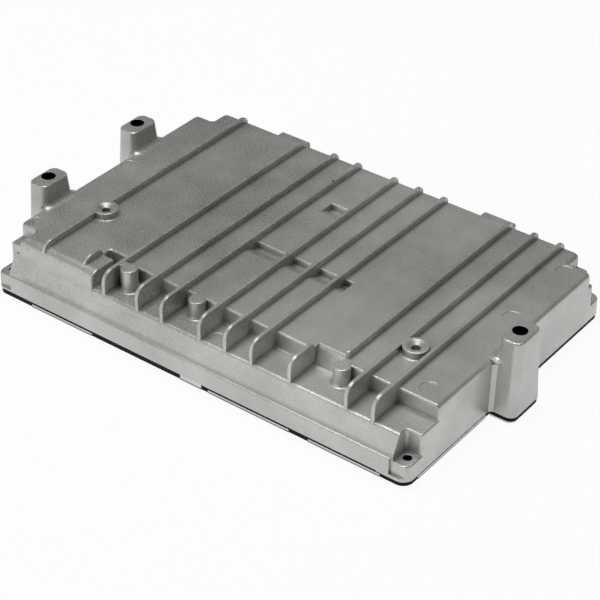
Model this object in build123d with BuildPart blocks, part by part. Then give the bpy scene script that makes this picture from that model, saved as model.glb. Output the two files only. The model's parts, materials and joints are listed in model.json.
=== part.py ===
from build123d import *
from math import radians, tan
import os

os.makedirs("parts", exist_ok=True)

# Engine control unit: a die-cast housing with its ribs up, a pressed cover below, the board between them.
# Millimetres. X runs along the long side, Y from the stepped front edge to the connector side, Z up.
# The origin is the middle of the housing's footprint, on the surface that the unit rests on.

# Housing
body_length = 226.0
body_width = 152.8
body_height = 26.0
body_corner_radius = 5.0
body_draft = 1.6
top_edge_radius = 2.4
wall_thickness = 3.2
plate_thickness = 5.0
pillar_corner_radius = 3.0

# Front wall: an upright foot band, then a face that leans back to the ledge
foot_band_height = 9.0
foot_band_step = 0.9
foot_band_margin = 9.0
foot_lip_height = 1.4
ledge_setback = 5.6
ledge_depth = 21.9
ledge_drop = 7.5
ledge_floor_thickness = 3.4
ledge_edge_radius = 1.4
ledge_root_radius = 1.2
recess_corner_radius = 0.9
recess_edge_radius = 0.9
ledge_pad_end = -58.7
ledge_pad_start = -65.2
ledge_pad_depth = 21.3
ledge_slot_depth = 25.6
front_round_radius = 5.4
deep_bay_setback = 3.6
deep_bay_radius = 1.6
bay_wall_thickness = 4.6

# Ribs: each place is the distance of a rib's middle from the middle of the unit
rib_height = 3.4
rib_thickness = 1.9
rib_edge_radius = 0.45
web_front_radius = 5.6
rib_back_radius = 3.8
rib_root_radius = 0.7
rib_back_margin = 1.2
rib_left_setback = 1.2
web_setback = 0.1
rib_pitch = 13.9
rib_left = -88.45
rib_boss_side = -52.0
rib_first_pair = -33.05
rib_middle_group = 1.75
rib_right_group = 64.75
rib_right_pitch = 13.45
stub_rib = -66.35
stub_rib_length = 12.6
lone_web = 49.55

# Mounting posts, each with a hole right through
post_rise = 10.4
post_hole_radius = 3.3
post_hole_x = 117.4
post_left_front_y = -34.2
post_left_pitch = 61.6
post_right_y = -3.4
post_top_x = 10.4
post_top_y = 17.3
post_outer_growth = 0.9
post_inner_growth = 3.2
post_foot_growth_y = 4.8
post_offset_x = 0.85
post_offset_y = -0.65
post_corner_radius = 3.6
post_root_radius = 2.4
post_root_sink = 0.3
post_edge_radius = 0.8

# Corner wells for the cover screws
notch_left = 10.6
notch_right = 12.2
notch_front = 16.8
notch_back = 10.5
notch_corner_radius = 3.0
corner_root_radius = 1.2
well_x = 7.7
well_front = 10.4
well_back = 8.6
well_corner_radius = 1.6
well_edge_radius = 0.8
seat_height = 7.8
screw_inset_x = 4.6
screw_front_inset = 6.9
screw_back_inset = 5.2
screw_radius = 1.75
screw_clearance = 0.3
screw_head_radius = 3.2
screw_head_height = 1.3
screw_head_room = 0.9
screw_recess_radius = 1.5
screw_recess_depth = 0.9
screw_tip_gap = 2.6
screw_hole_chamfer = 0.4

# Round bosses on the ledge
boss_radius = 3.85
boss_edge_radius = 0.6
boss_root_radius = 1.6
boss_bridged_x = -45.8
boss_bridged_y = -60.1
boss_bridge_width = 3.6
boss_bridge_shift = 1.4
boss_left_x = -10.0
boss_right_x = 66.6
boss_y = -57.2
boss_rise = 1.0

# Ring bosses on the plate
ring_radius = 5.9
ring_edge_radius = 0.5
ring_root_radius = 1.0
ring_left_x = -86.4
ring_right_x = 84.3
ring_y = -29.9
ring_cone_radius = 4.1
ring_cone_angle = 109.0
ring_hole_radius = 2.0
ring_hole_depth = 3.6

# Cross pockets between the ribs
pocket_y = -5.5
pocket_length = 8.9
pocket_floor = 2.4
pocket_depth = 3.2
pocket_tail = 4.6
pocket_edge_radius = 0.6
pocket_ramp_radius = 22.0
short_pocket_x = -5.85
short_pocket_width = 9.9
short_pocket_y = 40.4

# Ejector marks: shallow discs
mark_radius = 4.2
mark_depth = 0.25
plate_marks = [(-106.6, -54.8), (-106.1, 8.7), (-99.5, 70.0), (102.6, -46.6), (102.5, 15.4), (102.3, 59.0)]
ledge_mark_x = 7.3
ledge_mark_inset = 5.6
ledge_mark_radius = 3.8

# Shoulders on the back wall
shoulder_reach = 3.0
shoulder_length = 18.6
shoulder_left_x = -60.3
shoulder_right_x = 56.6
shoulder_radius = 1.5
shoulder_edge_radius = 1.2

# Cover and its seal
cover_thickness = 1.5
cover_dish_inset = 3.4
cover_flange_inset = 1.0
cover_flange_width = 4.4
seal_squeeze = 0.6
seal_inset = 0.25
seal_width = 3.0
lip_overlap = 0.2
front_lips = [(-91.0, -55.0), (-4.0, 6.0), (11.0, 54.0), (64.0, 100.0)]
right_lips = [(-68.0, -18.0)]

# Connector header in the back wall
header_x = -2.0
header_flange_margin = 5.0
header_flange_height = 13.2
header_flange_thickness = 2.4
header_above_base = 6.8
header_body_length = 84.0
header_shroud_height = 12.0
header_wall = 1.6
header_clearance = 0.2
header_reach = 12.0
header_tail = 7.0
header_floor = 1.0
header_corner_radius = 2.0
header_seal_thickness = 0.8
header_screw_radius = 1.25
header_screw_head_radius = 2.3
header_screw_head_height = 1.6
header_screw_length = 6.0
header_screw_inset_x = 2.6
header_screw_spread = 7.6
header_boss_radius = 2.9

# Pins: rows of bent square wires in each bay
pin_size = 0.8
pin_rows = 3
pin_columns = 12
pin_pitch_x = 2.8
pin_pitch_z = 2.4
pin_pitch_y = 2.4
pin_reach = 8.0
pin_through = 0.8

# Circuit board
board_length = 208.0
board_width = 128.0
board_thickness = 1.6
board_headroom = 8.0
board_gap = 1.6
board_post_radius = 4.0
board_post_x = 92.0
board_post_front_y = -44.0
board_post_back_y = 50.0
board_screw_radius = 1.5
board_screw_head_radius = 2.8
board_screw_head_height = 1.8
board_screw_depth = 5.0
thread_gap = 0.05

# Parts on the board
back_row_inset = 19.0
controller_x = -18.0
controller_y = 6.0
chip_chamfer = 0.3
chip_length = 3.2
chip_width = 1.6
chip_pitch_x = 6.0
chip_spread_y = 34.0
chip_columns = 4
driver_height = 2.4
pad_thickness = 0.6
pedestal_margin = 2.0
pedestal_draft = 4.0
driver_places = [(22.0, -14.0, 14.0, 14.0), (46.0, -14.0, 14.0, 14.0), (22.0, 14.0, 12.0, 10.0)]
can_radius = 4.0
can_height = 6.4
can_y = -32.0
can_places = [-56.0, -44.0, -32.0, -20.0]
coil_size = 13.0
coil_height = 6.6
coil_groove_outer = 4.4
coil_groove_inner = 3.1
coil_places = [(84.0, 8.0), (64.0, 8.0)]

# Worked out from the sizes above
cover_stack = 2 * cover_thickness
base_z = cover_stack + seal_squeeze
plate_z = base_z + body_height
rib_top_z = plate_z + rib_height
ledge_z = plate_z - ledge_drop
foot_z = base_z + foot_band_height
seat_z = base_z + seat_height
post_top_z = plate_z + post_rise
half_length = body_length / 2
half_width = body_width / 2
front_y = -half_width
back_y = half_width
ledge_front_y = front_y + ledge_setback
ledge_back_y = front_y + ledge_depth
ceiling_z = plate_z - plate_thickness
board_top_z = ceiling_z - board_headroom
board_z = board_top_z - board_thickness
far = body_length
overlap = 1.0
pedestal_z = board_top_z + driver_height + pad_thickness
draft_slope = tan(radians(body_draft))

rib_pair = [rib_first_pair, rib_first_pair + rib_pitch]
rib_group = [rib_middle_group + i * rib_pitch for i in range(3)]
rib_right = [rib_right_group + i * rib_right_pitch for i in range(3)]
web_ribs = [rib_boss_side] + rib_pair + rib_group + rib_right[1:]

left_posts = [(-post_hole_x, post_left_front_y), (-post_hole_x, post_left_front_y + post_left_pitch)]
posts = left_posts + [(post_hole_x, post_right_y)]
post_foot_y = post_top_y + post_foot_growth_y

screw_x = half_length - screw_inset_x
screws = [
    (-screw_x, front_y + screw_front_inset),
    (screw_x, front_y + screw_front_inset),
    (-screw_x, back_y - screw_back_inset),
    (screw_x, back_y - screw_back_inset),
]
header_z = base_z + header_above_base
header_flange_length = header_body_length + 2 * header_flange_margin
header_seal_y = back_y
header_flange_y = header_seal_y + header_seal_thickness
shroud_inner_height = header_shroud_height - 2 * header_wall
bay_length = (header_body_length - 3 * header_wall) / 2
bay_centres = [header_x + side * (bay_length + header_wall) / 2 for side in (-1, 1)]
bay_floor_y = header_flange_y + header_floor
header_screw_x = header_flange_length / 2 - header_screw_inset_x
header_screws = [
    (header_x + side * header_screw_x, header_z + level * header_screw_spread / 2)
    for side in (-1, 1)
    for level in (-1, 1)
]
board_post_rows = (board_post_front_y, board_post_back_y)
board_posts = [(x, y) for x in (-board_post_x, 0, board_post_x) for y in board_post_rows]


def footprint(inset, post_inset):
    """The outline of the housing's foot and of the post feet, each drawn in by its own inset."""
    with BuildSketch() as outline:
        RectangleRounded(body_length - 2 * inset, body_width - 2 * inset, body_corner_radius)
        for x, y in posts:
            side = 1 if x > 0 else -1
            outer = abs(x) + side * post_offset_x + post_top_x / 2 + post_outer_growth - post_inset
            inner = half_length - post_top_x
            with Locations((side * (outer + inner) / 2, y + post_offset_y)):
                RectangleRounded(outer - inner, post_foot_y - 2 * post_inset, post_corner_radius)
    return outline.sketch


def body_outline(height, left, right, front, back, radius):
    """The body's section at a height over its base, with a step cut out of each corner."""
    length = body_length - 2 * height * draft_slope
    width = body_width - 2 * height * draft_slope
    roots = []
    with BuildSketch() as section:
        Rectangle(length, width)
        for side_x, step_x in ((-1, left), (1, right)):
            for side_y, step_y in ((-1, front), (1, back)):
                roots.append((side_x * (half_length - step_x), side_y * (half_width - step_y)))
                with Locations((side_x * half_length, side_y * half_width)):
                    Rectangle(2 * step_x, 2 * step_y, mode=Mode.SUBTRACT)
        for root in roots:
            fillet(section.vertices().sort_by_distance(root)[0], radius=corner_root_radius)
        for axis in (Axis.X, Axis.Y):
            ends = section.vertices().group_by(axis)
            fillet(ends[0] + ends[-1], radius=radius)
    return section.sketch


def upright_rib(x, front, back, foot, front_radius=web_front_radius):
    """A rib or web of even thickness, with its upper ends and its outer edges rounded."""
    with BuildPart() as rib:
        with BuildSketch(Plane.YZ.offset(x)) as side:
            with BuildLine():
                Polyline((front, foot), (back, foot), (back, rib_top_z), (front, rib_top_z), close=True)
            make_face()
            upper = side.vertices().group_by(Axis.Y)[-1]
            fillet(upper.sort_by(Axis.X)[0], radius=front_radius)
            fillet(side.vertices().sort_by_distance((back, rib_top_z))[0], radius=rib_back_radius)
        extrude(amount=rib_thickness / 2, both=True)
        outline = rib.faces().filter_by(Axis.X).edges()
        fillet(outline.filter_by(lambda e: e.center().Z > foot + rib_edge_radius), radius=rib_edge_radius)
    return rib.part


def round_boss(radius, foot, top, edge_radius, root_z, root_radius):
    """A turned boss at the origin with a rounded rim and a flared root."""
    with BuildPart() as boss:
        with BuildSketch(Plane.XZ):
            with BuildLine():
                start = Polyline((0, top), (radius - edge_radius, top))
                rim = RadiusArc(start @ 1, (radius, top - edge_radius), edge_radius)
                side = Line(rim @ 1, (radius, root_z + root_radius))
                flare = RadiusArc(side @ 1, (radius + root_radius, root_z), -root_radius)
                Polyline(flare @ 1, (radius + root_radius, foot), (0, foot), (0, top))
            make_face()
        revolve(axis=Axis.Z)
    return boss.part


# Cavity of the housing: a side profile under the plate and the ledge, with the corner pillars left standing
pillar_x = half_length - notch_right - wall_thickness
pillar_y = half_width - notch_front - wall_thickness
with BuildPart() as cavity:
    with BuildSketch(Plane.YZ):
        with BuildLine():
            Polyline(
                (front_y + wall_thickness, base_z - overlap),
                (front_y + wall_thickness, foot_z - overlap),
                (ledge_front_y + wall_thickness, ledge_z - ledge_floor_thickness),
                (ledge_back_y + bay_wall_thickness, ledge_z - ledge_floor_thickness),
                (ledge_back_y + bay_wall_thickness, ceiling_z),
                (back_y - wall_thickness, ceiling_z),
                (back_y - wall_thickness, base_z - overlap),
                close=True,
            )
        make_face()
    extrude(amount=half_length - wall_thickness, both=True)
    with BuildSketch() as cavity_plan:
        Rectangle(body_length, 2 * pillar_y)
        Rectangle(2 * pillar_x, body_width)
        middle_part = cavity_plan.vertices().filter_by(lambda v: abs(v.X) < pillar_x + overlap)
        fillet(middle_part.filter_by(lambda v: abs(v.Y) < pillar_y + overlap), radius=pillar_corner_radius)
    extrude(amount=plate_z, mode=Mode.INTERSECT)

# A shoulder for the back wall, at the origin
with BuildPart() as shoulder:
    with BuildSketch():
        RectangleRounded(shoulder_length, 2 * shoulder_reach, shoulder_radius)
    extrude(amount=body_height, taper=body_draft)
    fillet(shoulder.edges().group_by(Axis.Z)[-1], radius=shoulder_edge_radius)

# What the front face leaves out: over the foot band it leans back, and its top is well rounded
band_y = front_y + foot_band_height * draft_slope
band_round = foot_band_step / 2
with BuildPart() as front_space:
    with BuildSketch(Plane.YZ):
        with BuildLine():
            below = Line((front_y - far, foot_z - band_round), (band_y, foot_z - band_round))
            band_top = TangentArc(below @ 1, (band_y + band_round, foot_z), tangent=(0, 1))
            lean_y = band_y + foot_band_step
            band_root = TangentArc(band_top @ 1, (lean_y, foot_z + band_round), tangent=(1, 0))
            lean = Polyline(
                band_root @ 1,
                (ledge_front_y, ledge_z),
                (ledge_front_y, plate_z - front_round_radius),
            )
            over = TangentArc(lean @ 1, (ledge_front_y + front_round_radius, plate_z), tangent=(0, 1))
            Polyline(over @ 1, (over @ 1) + (0, far), (front_y - far, plate_z + far), below @ 0)
        make_face()
    extrude(amount=half_length + post_top_x, both=True)

# The lower step: from the screw seats up to the ledge
ledge_start = seat_z - 2 * well_edge_radius
with BuildPart() as ledge_block:
    with BuildSketch(Plane.XY.offset(ledge_start)):
        well_steps = (well_x, well_x, well_front, well_back)
        add(body_outline(ledge_start - base_z, *well_steps, well_corner_radius))
    extrude(amount=ledge_z - ledge_start, taper=body_draft)
    fillet(ledge_block.edges().group_by(Axis.Z)[-1], radius=well_edge_radius)

# The upper step: the plate with its rounded rim, then the front and the ledge cut out of it
plate_start = ledge_z - 2 * well_edge_radius
with BuildPart() as plate_block:
    with BuildSketch(Plane.XY.offset(plate_start)):
        notch_steps = (notch_left, notch_right, notch_front, notch_back)
        add(body_outline(plate_start - base_z, *notch_steps, notch_corner_radius))
    extrude(amount=plate_z - plate_start, taper=body_draft)
    fillet(plate_block.edges().group_by(Axis.Z)[-1], radius=top_edge_radius)
    add(front_space.part, mode=Mode.SUBTRACT)

    # one recess from the pad to the right wall, with a slot behind the pad
    with BuildSketch(Plane.XY.offset(plate_start - overlap)) as recess:
        with BuildLine():
            Polyline(
                (ledge_pad_end, front_y - overlap),
                (ledge_pad_end, front_y + ledge_pad_depth),
                (ledge_pad_start, front_y + ledge_pad_depth),
                (ledge_pad_start, front_y + ledge_slot_depth),
                (rib_boss_side, front_y + ledge_slot_depth),
                (rib_boss_side, ledge_back_y),
                (half_length + overlap, ledge_back_y),
                (half_length + overlap, front_y - overlap),
                close=True,
            )
        make_face()
        inside = recess.vertices().filter_by(lambda v: v.X < half_length and v.Y > front_y)
        fillet(inside, radius=recess_corner_radius)
    extrude(amount=plate_z - plate_start + 2 * overlap, taper=-body_draft, mode=Mode.SUBTRACT)
    rims = plate_block.edges(Select.LAST).filter_by(lambda e: e.center().Z > plate_z - 0.01)
    fillet(rims, radius=recess_edge_radius)

# Housing
with BuildPart() as housing:
    # outer form: a foot up to the screw seats, a step up to the ledge, and the plate
    with BuildSketch(Plane.XY.offset(base_z)):
        RectangleRounded(body_length, body_width, body_corner_radius)
    extrude(amount=seat_height, taper=body_draft)
    fillet(housing.edges().group_by(Axis.Z)[-1], radius=well_edge_radius)
    add(ledge_block.part)
    add(front_space.part, mode=Mode.SUBTRACT)
    add(plate_block.part)

    # the foot band stops short of the corners, where only a low lip runs on
    with BuildSketch(Plane.XY.offset(base_z + foot_lip_height)):
        for side in (-1, 1):
            with Locations((side * half_length, front_y)):
                Rectangle(2 * foot_band_margin, 2 * (band_y - front_y + foot_band_step))
    extrude(amount=foot_band_height - foot_lip_height + band_round, mode=Mode.SUBTRACT)

    # the ledge's front edge is rounded, and so is the foot of its back wall
    with BuildSketch(Plane.YZ.offset(ledge_pad_end)):
        with BuildLine():
            run_y = ledge_front_y + ledge_edge_radius
            drop_z = ledge_z - ledge_edge_radius
            lean_slope = (ledge_front_y - lean_y) / (ledge_z - foot_z)
            drop_y = ledge_front_y - ledge_edge_radius * lean_slope
            edge = TangentArc((run_y, ledge_z), (drop_y, drop_z), tangent=(-1, 0))
            Polyline(
                edge @ 1,
                (drop_y - overlap, drop_z),
                (drop_y - overlap, ledge_z + overlap),
                (run_y, ledge_z + overlap),
                edge @ 0,
            )
        make_face()
    extrude(amount=half_length - ledge_pad_end, mode=Mode.SUBTRACT)
    with BuildSketch(Plane.YZ.offset(rib_boss_side)):
        with BuildLine():
            root = TangentArc(
                (ledge_back_y - ledge_root_radius, ledge_z),
                (ledge_back_y, ledge_z + ledge_root_radius),
                tangent=(1, 0),
            )
            Polyline(
                root @ 1,
                (ledge_back_y + overlap, ledge_z + ledge_root_radius),
                (ledge_back_y + overlap, ledge_z - overlap),
                (ledge_back_y - ledge_root_radius, ledge_z - overlap),
                root @ 0,
            )
        make_face()
    extrude(amount=lone_web - rib_boss_side)

    # shoulders on the back wall, either side of the connector
    with Locations((shoulder_left_x, back_y, base_z), (shoulder_right_x, back_y, base_z)):
        add(shoulder.part)

    # the back wall of the bay beside the lone web leans back
    with BuildSketch(Plane.YZ.offset(lone_web)):
        with BuildLine():
            top_y = ledge_back_y + deep_bay_setback
            slope = Line((ledge_back_y, ledge_z), (top_y, plate_z - deep_bay_radius))
            brow = TangentArc(slope @ 1, (top_y + deep_bay_radius, plate_z), tangent=slope % 1)
            Polyline(
                brow @ 1,
                (top_y + deep_bay_radius, plate_z + overlap),
                (ledge_back_y - overlap, plate_z + overlap),
                (ledge_back_y - overlap, ledge_z),
                slope @ 0,
            )
        make_face()
    extrude(amount=rib_right_group - lone_web, mode=Mode.SUBTRACT)

    # mounting posts, tapered to the top
    for x, y in posts:
        side = 1 if x > 0 else -1
        middle_x = x + post_offset_x
        foot_x = post_top_x + post_outer_growth + post_inner_growth
        foot_shift = side * (post_outer_growth - post_inner_growth) / 2
        with BuildSketch(Plane.XY.offset(base_z)):
            with Locations((middle_x + foot_shift, y + post_offset_y)):
                RectangleRounded(foot_x, post_foot_y, post_corner_radius)
        with BuildSketch(Plane.XY.offset(post_top_z)):
            with Locations((middle_x, y + post_offset_y)):
                RectangleRounded(post_top_x, post_top_y, post_corner_radius)
        loft()
    fillet(housing.edges().group_by(Axis.Z)[-1], radius=post_edge_radius)

    # a hollow round where each flank of a post meets the wall
    for x, y in posts:
        side = 1 if x > 0 else -1
        for flank in (-1, 1):
            for height in (0, body_height - top_edge_radius):
                rise = height / (post_top_z - base_z)
                wall_x = half_length - height * draft_slope
                flank_y = (post_foot_y - rise * post_foot_growth_y) / 2
                turn = post_root_radius * (1 - 2 ** -0.5)
                start = (wall_x - post_root_sink, flank_y + post_root_radius)
                middle = (wall_x + turn, flank_y + turn)
                end = (wall_x + post_root_radius, flank_y - post_root_sink)
                inner = (wall_x - overlap, flank_y - overlap)
                corners = [start, middle, end, (end[0], inner[1]), inner, (inner[0], start[1])]
                placed = [(side * px, y + post_offset_y + flank * py) for px, py in corners]
                with BuildSketch(Plane.XY.offset(base_z + height)):
                    with BuildLine():
                        ThreePointArc(*placed[:3])
                        Polyline(*placed[2:], placed[0])
                    make_face()
            loft()

    # cross pockets: a steep back wall and a floor that curves up to the front
    pocket_spans = [
        (rib_pair[1], rib_group[0]),
        (rib_group[0], rib_group[1]),
        (rib_group[1], rib_group[2]),
        (rib_group[2], rib_group[2] + rib_thickness / 2 + pocket_tail),
    ]
    pockets = [(left, right, pocket_y) for left, right in pocket_spans]
    short_half = short_pocket_width / 2
    pockets += [(short_pocket_x - short_half, short_pocket_x + short_half, short_pocket_y)]
    for left, right, y in pockets:
        with BuildSketch(Plane.YZ.offset(left)):
            with BuildLine():
                floor_z = plate_z - pocket_depth
                brow_y = y + pocket_edge_radius
                brow = TangentArc((brow_y, plate_z), (y, plate_z - pocket_edge_radius), tangent=(-1, 0))
                steep = Polyline(brow @ 1, (y, floor_z), (y - pocket_floor, floor_z))
                ramp = RadiusArc(steep @ 1, (y - pocket_length, plate_z), -pocket_ramp_radius)
                Polyline(
                    ramp @ 1,
                    (y - pocket_length, plate_z + overlap),
                    (brow_y, plate_z + overlap),
                    brow @ 0,
                )
            make_face()
        extrude(amount=right - left, mode=Mode.SUBTRACT)

    # ejector marks
    with BuildSketch(Plane.XY.offset(plate_z)):
        with Locations(*plate_marks):
            Circle(mark_radius)
    extrude(amount=-mark_depth, mode=Mode.SUBTRACT)
    with BuildSketch(Plane.XY.offset(ledge_z)):
        with Locations((ledge_mark_x, ledge_front_y + ledge_mark_inset)):
            Circle(ledge_mark_radius)
    extrude(amount=-mark_depth, mode=Mode.SUBTRACT)

    # ribs with webs that stand on the ledge, ribs on the plate alone, and the stub rib on the pad
    rib_back_y = back_y - rib_back_margin
    web_front_y = ledge_front_y + web_setback
    for x in web_ribs:
        add(upright_rib(x, web_front_y, rib_back_y, ledge_z - overlap))
    add(upright_rib(lone_web, web_front_y, ledge_back_y + overlap, ledge_z - overlap))
    deep_bay_y = ledge_back_y + deep_bay_setback
    add(upright_rib(rib_right[0], deep_bay_y, rib_back_y, plate_z - ledge_drop / 2, rib_root_radius))
    left_front_y = ledge_front_y + rib_left_setback
    add(upright_rib(rib_left, left_front_y, rib_back_y, plate_z - front_round_radius))
    stub_front = front_y + ledge_pad_depth - stub_rib_length
    add(upright_rib(stub_rib, stub_front, stub_front + stub_rib_length, plate_z - ledge_drop / 2))

    # round bosses on the ledge
    boss_rounds = (boss_edge_radius, ledge_z, boss_root_radius)
    with Locations((boss_left_x, boss_y, 0), (boss_right_x, boss_y, 0)):
        add(round_boss(boss_radius, ledge_z - overlap, plate_z + boss_rise, *boss_rounds))
    with Locations((boss_bridged_x, boss_bridged_y, 0)):
        add(round_boss(boss_radius, ledge_z - overlap, rib_top_z, *boss_rounds))
    with BuildSketch(Plane.XY.offset(ledge_z)):
        with Locations(((boss_bridged_x + rib_boss_side) / 2, boss_bridged_y + boss_bridge_shift)):
            Rectangle(boss_bridged_x - rib_boss_side, boss_bridge_width)
    extrude(amount=rib_top_z - ledge_z - rib_edge_radius)

    # ring bosses on the plate
    ring_rounds = (ring_edge_radius, plate_z, ring_root_radius)
    with Locations((ring_left_x, ring_y, 0), (ring_right_x, ring_y, 0)):
        add(round_boss(ring_radius, plate_z - overlap, rib_top_z, *ring_rounds))
    with Locations((ring_left_x, ring_y, rib_top_z), (ring_right_x, ring_y, rib_top_z)):
        CounterSinkHole(ring_hole_radius, ring_cone_radius, ring_hole_depth, ring_cone_angle)

    # hollow inside
    add(cavity.part, mode=Mode.SUBTRACT)

    # posts for the board, each with a tapped hole
    with BuildSketch(Plane.XY.offset(board_top_z)):
        with Locations(*board_posts):
            Circle(board_post_radius)
            Circle(board_screw_radius + thread_gap, mode=Mode.SUBTRACT)
    extrude(amount=board_headroom + overlap)

    # holes through the posts, and a tapped hole from each corner seat down
    for x, y in posts:
        with Locations((x, y, post_top_z)):
            Hole(post_hole_radius, depth=post_top_z)
    tapped_radius = screw_radius + thread_gap
    tapped_rim = tapped_radius + screw_hole_chamfer
    for x, y in screws:
        with Locations((x, y, seat_z)):
            CounterSinkHole(tapped_radius, tapped_rim, seat_height + overlap, 90)

    # the window for the connector header, and a tapped boss behind each of its screws
    for x, z in header_screws:
        with BuildSketch(Plane.XZ.offset(-(back_y - wall_thickness))):
            with Locations((x, z)):
                Circle(header_boss_radius)
        extrude(amount=header_screw_length - wall_thickness)
    with BuildSketch(Plane.XZ.offset(-(back_y + overlap))):
        with Locations((header_x, header_z)):
            RectangleRounded(header_body_length, shroud_inner_height, header_corner_radius)
    extrude(amount=header_screw_length + 2 * overlap, mode=Mode.SUBTRACT)
    with BuildSketch(Plane.XZ.offset(-(back_y + overlap))):
        with Locations(*header_screws):
            Circle(header_screw_radius + thread_gap)
    extrude(amount=header_screw_length + overlap, mode=Mode.SUBTRACT)

    # pedestals that carry the heat of the drivers into the ribs
    for x, y, length, width in driver_places:
        with BuildSketch(Plane.XY.offset(pedestal_z)):
            with Locations((x, y)):
                Rectangle(length + pedestal_margin, width + pedestal_margin)
        extrude(amount=ceiling_z - pedestal_z + overlap, taper=-pedestal_draft)

housing.part.label = "housing"
export_step(housing.part, "parts/housing.step")

# Cover: a shallow pressed dish with a flange under the housing's foot, and lips turned out to the wall
with BuildPart() as cover_plate:
    with BuildSketch():
        add(footprint(cover_dish_inset, cover_flange_inset))
    extrude(amount=cover_thickness)
    with BuildSketch(Plane.XY.offset(cover_thickness)):
        add(footprint(cover_flange_inset, cover_flange_inset))
        border = 2 * (cover_flange_inset + cover_flange_width)
        RectangleRounded(body_length - border, body_width - border, body_corner_radius, mode=Mode.SUBTRACT)
    extrude(amount=cover_thickness)
    with BuildSketch(Plane.XY.offset(cover_thickness)):
        for start, end in front_lips:
            with Locations(((start + end) / 2, front_y + cover_flange_inset / 2 + lip_overlap)):
                Rectangle(end - start, cover_flange_inset + 2 * lip_overlap)
        for start, end in right_lips:
            with Locations((half_length - cover_flange_inset / 2 - lip_overlap, (start + end) / 2)):
                Rectangle(cover_flange_inset + 2 * lip_overlap, end - start)
    extrude(amount=cover_thickness)
    with BuildSketch():
        with Locations(*screws):
            Circle(screw_head_radius + screw_head_room)
    extrude(amount=cover_thickness, mode=Mode.SUBTRACT)
    with BuildSketch(Plane.XY.offset(cover_thickness)):
        with Locations(*screws):
            Circle(screw_head_radius + screw_head_room + cover_thickness)
        add(footprint(cover_flange_inset, cover_flange_inset), mode=Mode.INTERSECT)
    extrude(amount=cover_thickness)
    with BuildSketch(Plane.XY.offset(cover_thickness)):
        with Locations(*screws):
            Circle(screw_radius + screw_clearance)
    extrude(amount=cover_thickness, mode=Mode.SUBTRACT)
    for x, y in posts:
        with Locations((x, y, base_z)):
            Hole(post_hole_radius + screw_clearance, depth=base_z)

cover_plate.part.label = "cover_plate"
export_step(cover_plate.part, "parts/cover_plate.step")

# Seal: a bead between the cover's flange and the housing, which also wraps the flange's edge
with BuildPart() as cover_gasket:
    with BuildSketch(Plane.XY.offset(cover_thickness)):
        add(footprint(seal_inset, seal_inset))
        add(footprint(cover_flange_inset, cover_flange_inset), mode=Mode.SUBTRACT)
    extrude(amount=cover_thickness)
    with BuildSketch(Plane.XY.offset(cover_stack)):
        add(footprint(seal_inset, seal_inset))
        border = 2 * (cover_flange_inset + seal_width)
        RectangleRounded(body_length - border, body_width - border, body_corner_radius, mode=Mode.SUBTRACT)
    extrude(amount=seal_squeeze)
    with BuildSketch(Plane.XY.offset(cover_thickness)):
        for start, end in front_lips:
            with Locations(((start + end) / 2, front_y)):
                Rectangle(end - start, 2 * cover_flange_inset + 2 * lip_overlap)
        for start, end in right_lips:
            with Locations((half_length, (start + end) / 2)):
                Rectangle(2 * cover_flange_inset + 2 * lip_overlap, end - start)
    extrude(amount=cover_thickness, mode=Mode.SUBTRACT)
    with BuildSketch(Plane.XY.offset(cover_stack)):
        with Locations(*screws):
            Circle(screw_radius + screw_clearance)
    extrude(amount=seal_squeeze, mode=Mode.SUBTRACT)
    for x, y in posts:
        with Locations((x, y, base_z)):
            Hole(post_hole_radius + screw_clearance, depth=base_z)

cover_gasket.part.label = "cover_gasket"
export_step(cover_gasket.part, "parts/cover_gasket.step")

# Cover screws: low heads with a six-lobed recess, screwed up through the cover into the corner pillars
with BuildPart() as cover_screws:
    with BuildSketch(Plane.XY.offset(cover_thickness)):
        with Locations(*screws):
            Circle(screw_head_radius)
    extrude(amount=-screw_head_height)
    fillet(cover_screws.edges().group_by(Axis.Z)[0], radius=screw_head_height / 3)
    with BuildSketch(Plane.XY.offset(cover_thickness)):
        with Locations(*screws):
            Circle(screw_radius)
    extrude(amount=seat_z - screw_tip_gap - cover_thickness)
    with BuildSketch(Plane.XY.offset(cover_thickness - screw_head_height)):
        for x, y in screws:
            with Locations((x, y)):
                Circle(screw_recess_radius)
                with PolarLocations(screw_recess_radius, 6):
                    Circle(screw_recess_radius / 4, mode=Mode.SUBTRACT)
    extrude(amount=screw_recess_depth, mode=Mode.SUBTRACT)

cover_screws.part.label = "cover_screws"
export_step(cover_screws.part, "parts/cover_screws.step")

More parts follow.
